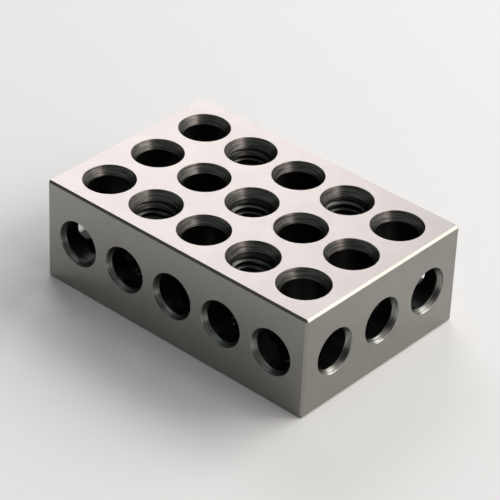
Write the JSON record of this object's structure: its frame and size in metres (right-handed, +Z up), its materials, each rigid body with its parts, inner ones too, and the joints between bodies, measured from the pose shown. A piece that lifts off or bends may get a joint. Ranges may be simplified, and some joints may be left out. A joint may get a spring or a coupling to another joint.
{
  "type": "machinist setup block",
  "caption": "Ground steel 1-2-3 block with countersunk plain and tapped through holes, used to set up, space and clamp work on machine tools.",
  "frame": {"origin": "middle of the bottom face", "axes": "+Z up through the one inch height, +X along the three inch length, +Y across the two inch width"},
  "size_m": [0.0762, 0.0508, 0.0254],
  "materials": {
    "ground_steel": "ground, satin"
  },
  "bodies": {
    "root": {"setup_block": "ground_steel"}
  },
  "joints": []
}
